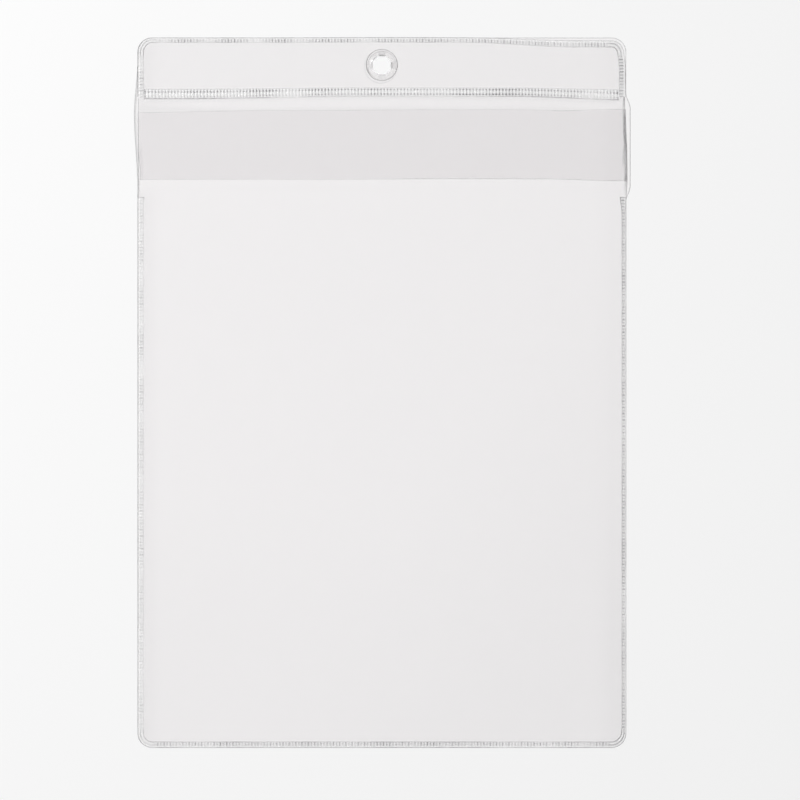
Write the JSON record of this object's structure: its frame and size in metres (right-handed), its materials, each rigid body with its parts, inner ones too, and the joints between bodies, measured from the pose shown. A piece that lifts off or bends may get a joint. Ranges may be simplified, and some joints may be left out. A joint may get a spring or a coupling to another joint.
{
  "type": "label protector",
  "caption": "Flat clear vinyl hang-up pouch for a sheet label, with knurled welded edges, a rain flap over the pocket's mouth and a clear moulded eyelet to hang it by.",
  "frame": {"origin": "under the middle of the pouch, level with the back of the eyelet, which is its lowest point as it lies on its back", "axes": "+X to the right seen from the front, +Y towards the header and the hang hole, +Z out of the front"},
  "size_m": [0.2392, 0.343, 0.0039],
  "materials": {
    "clear_vinyl_film": "glossy, clear calendered film",
    "welded_vinyl": "knurled weld, clear to milky",
    "clear_moulded_plastic": "glossy, clear moulding"
  },
  "bodies": {
    "pouch": {"back_sheet": "clear_vinyl_film", "header_front_sheet": "clear_vinyl_film", "pocket_front_sheet": "clear_vinyl_film", "header_top_weld": "welded_vinyl", "header_left_weld": "welded_vinyl", "header_right_weld": "welded_vinyl", "header_cross_weld": "welded_vinyl", "pocket_left_weld": "welded_vinyl", "pocket_right_weld": "welded_vinyl", "pocket_bottom_weld": "welded_vinyl", "eyelet": "clear_moulded_plastic", "eyelet_washer": "clear_moulded_plastic"},
    "flap": {"rain_flap": "clear_vinyl_film"},
    "lip": {"pocket_lip": "clear_vinyl_film"}
  },
  "joints": [
    {"name": "flap_lift", "type": "hinge", "parent": "pouch", "child": "flap", "pos_m": [0, 0.1432, 0.0031], "axis": [-1, 0, 0], "range_deg": [0, 160]},
    {"name": "lip_open", "type": "hinge", "parent": "pouch", "child": "lip", "pos_m": [0, 0.0948, 0.0024], "axis": [1, 0, 0], "range_deg": [0, 16]}
  ],
  "couplings": [
    {"joint": "lip_open", "follows": "flap_lift", "ratio": 0.1}
  ]
}
